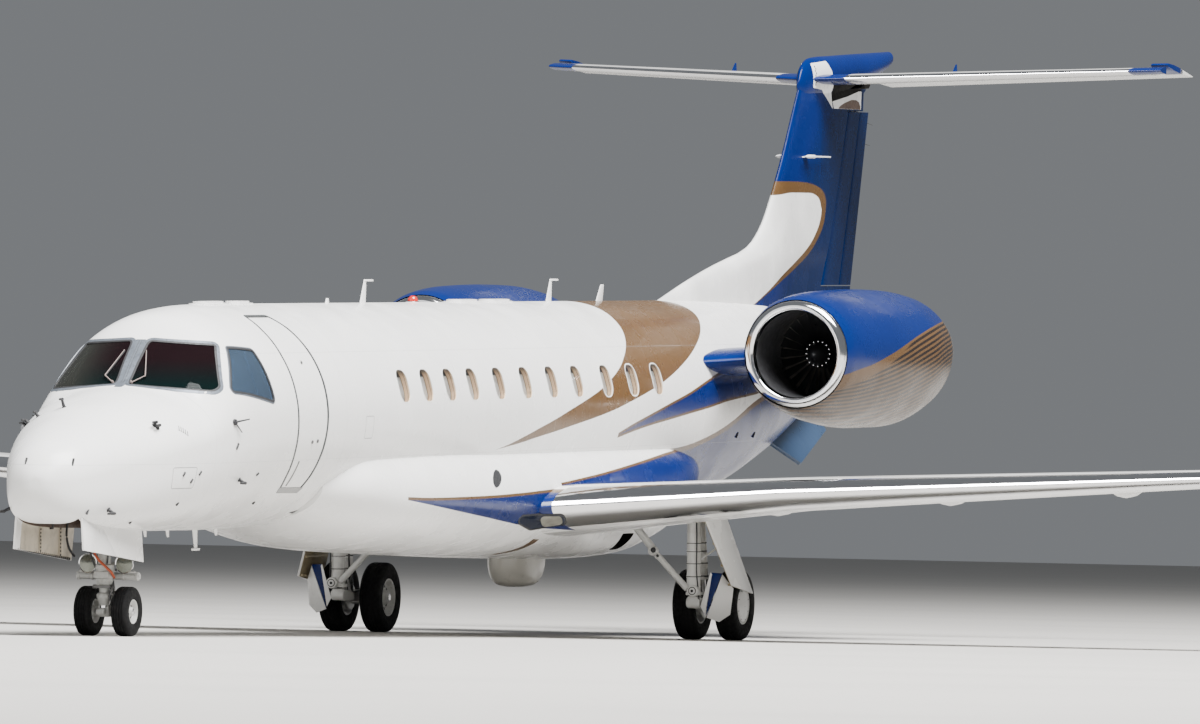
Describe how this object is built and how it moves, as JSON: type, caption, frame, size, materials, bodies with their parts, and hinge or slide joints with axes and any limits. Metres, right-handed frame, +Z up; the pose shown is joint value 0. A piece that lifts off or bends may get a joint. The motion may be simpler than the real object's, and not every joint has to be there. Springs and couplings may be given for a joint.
{
  "type": "twin-engined business jet",
  "caption": "Business jet with swept wings, winglets, rear-mounted engines and a T-tail, parked on its gear, with turning wheels, fans, steering, rudder and airstair door.",
  "frame": {"origin": "on the ground under the middle of the aircraft's length and width", "axes": "+X towards the nose, +Y to port, +Z up; the airframe stands 1.63 degrees nose down on its gear"},
  "size_m": [26.2118, 21.1956, 6.9189],
  "materials": {
    "white_paint": "gloss",
    "blue_paint": "metallic gloss",
    "gold_paint": "metallic satin",
    "polished_metal": "polished",
    "gear_paint": "semi-gloss",
    "bay_primer": "satin",
    "engine_metal": "satin",
    "tyre_rubber": "matte",
    "wheel_paint": "semi-gloss",
    "cabin_glass": "tinted",
    "cabin_trim": "matte",
    "panel_black": "matte",
    "seat_leather": "satin"
  },
  "bodies": {
    "airframe": {"forward_fuselage": "white_paint", "mid_fuselage": "white_paint", "rear_fuselage": "white_paint", "belly_fairing": "white_paint", "belly_pod": "white_paint", "windshield_left": "cabin_glass", "windshield_right": "cabin_glass", "side_window_left": "cabin_glass", "side_window_right": "cabin_glass", "cockpit_floor": "cabin_trim", "cabin_bulkhead": "cabin_trim", "instrument_panel": "panel_black", "pilot_seat_left": "seat_leather", "pilot_seat_right": "seat_leather", "wing_left": "white_paint", "wing_right": "white_paint", "flap_left": "white_paint", "flap_right": "white_paint", "winglet_left": "blue_paint", "winglet_right": "blue_paint", "fin": "blue_paint", "tailplane": "white_paint", "tail_bullet": "blue_paint", "ventral_strake_left": "blue_paint", "ventral_strake_right": "blue_paint", "nacelle_left": "blue_paint", "nacelle_right": "blue_paint", "engine_core_left": "engine_metal", "engine_core_right": "engine_metal", "pylon_left": "blue_paint", "pylon_right": "blue_paint", "nose_leg": "gear_paint", "nose_bay_door_left": "white_paint", "nose_bay_door_right": "white_paint", "main_leg_left": "gear_paint", "main_leg_right": "gear_paint", "main_leg_door_left": "white_paint", "main_leg_door_right": "white_paint"},
    "entrance_door": {"main_door": "white_paint"},
    "nose_steering": {"nose_fork": "gear_paint"},
    "nose_wheels": {"nose_left_rim": "wheel_paint", "nose_left_tyre": "tyre_rubber", "nose_right_rim": "wheel_paint", "nose_right_tyre": "tyre_rubber"},
    "left_main_wheels": {"main_left_outer_rim": "wheel_paint", "main_left_outer_tyre": "tyre_rubber", "main_left_inner_rim": "wheel_paint", "main_left_inner_tyre": "tyre_rubber"},
    "right_main_wheels": {"main_right_outer_rim": "wheel_paint", "main_right_outer_tyre": "tyre_rubber", "main_right_inner_rim": "wheel_paint", "main_right_inner_tyre": "tyre_rubber"},
    "left_fan": {"fan_left": "engine_metal"},
    "right_fan": {"fan_right": "engine_metal"},
    "rudder": {"rudder": "blue_paint"},
    "left_elevator": {"elevator_left": "white_paint"},
    "right_elevator": {"elevator_right": "white_paint"},
    "left_aileron": {"aileron_left": "white_paint"},
    "right_aileron": {"aileron_right": "white_paint"}
  },
  "joints": [
    {"name": "entrance_door_hinge", "type": "hinge", "parent": "airframe", "child": "entrance_door", "pos_m": [8.49793, 0.89786, 1.48629], "axis": [-0.9996, 0, 0.0285], "range_deg": [0, 135]},
    {"name": "nose_steer", "type": "hinge", "parent": "airframe", "child": "nose_steering", "pos_m": [11.24716, 0, 0.54349], "axis": [0.0285, 0, 0.9996], "range_deg": [-71, 71]},
    {"name": "nose_wheel_spin", "type": "hinge", "parent": "nose_steering", "child": "nose_wheels", "pos_m": [11.13655, 0, 0.2475], "axis": [0, 1, 0], "continuous": true},
    {"name": "left_wheel_spin", "type": "hinge", "parent": "airframe", "child": "left_main_wheels", "pos_m": [-1.29345, 2.05, 0.381], "axis": [0, 1, 0], "continuous": true},
    {"name": "right_wheel_spin", "type": "hinge", "parent": "airframe", "child": "right_main_wheels", "pos_m": [-1.29345, -2.05, 0.381], "axis": [0, 1, 0], "continuous": true},
    {"name": "left_fan_spin", "type": "hinge", "parent": "airframe", "child": "left_fan", "pos_m": [-4.28431, 2.2, 3.16761], "axis": [0.9996, 0, -0.0285], "continuous": true},
    {"name": "right_fan_spin", "type": "hinge", "parent": "airframe", "child": "right_fan", "pos_m": [-4.28431, -2.2, 3.16761], "axis": [0.9996, 0, -0.0285], "continuous": true},
    {"name": "rudder_hinge", "type": "hinge", "parent": "airframe", "child": "rudder", "pos_m": [-10.70198, 0, 4.07305], "axis": [-0.3791, 0, 0.9254], "range_deg": [-15, 15]},
    {"name": "left_elevator_hinge", "type": "hinge", "parent": "airframe", "child": "left_elevator", "pos_m": [-11.99728, 2.1015, 6.55364], "axis": [-0.3482, 0.936, 0.0521], "range_deg": [0, 36]},
    {"name": "right_elevator_hinge", "type": "hinge", "parent": "airframe", "child": "right_elevator", "pos_m": [-11.99728, -2.1015, 6.55364], "axis": [0.3482, 0.936, -0.0521], "range_deg": [0, 36]},
    {"name": "left_aileron_hinge", "type": "hinge", "parent": "airframe", "child": "left_aileron", "pos_m": [-2.25834, 8.267, 1.89353], "axis": [-0.2484, 0.9676, 0.0443], "range_deg": [-25, 25]},
    {"name": "right_aileron_hinge", "type": "hinge", "parent": "airframe", "child": "right_aileron", "pos_m": [-2.25834, -8.267, 1.89353], "axis": [0.2484, 0.9676, -0.0443], "range_deg": [-25, 25]}
  ]
}
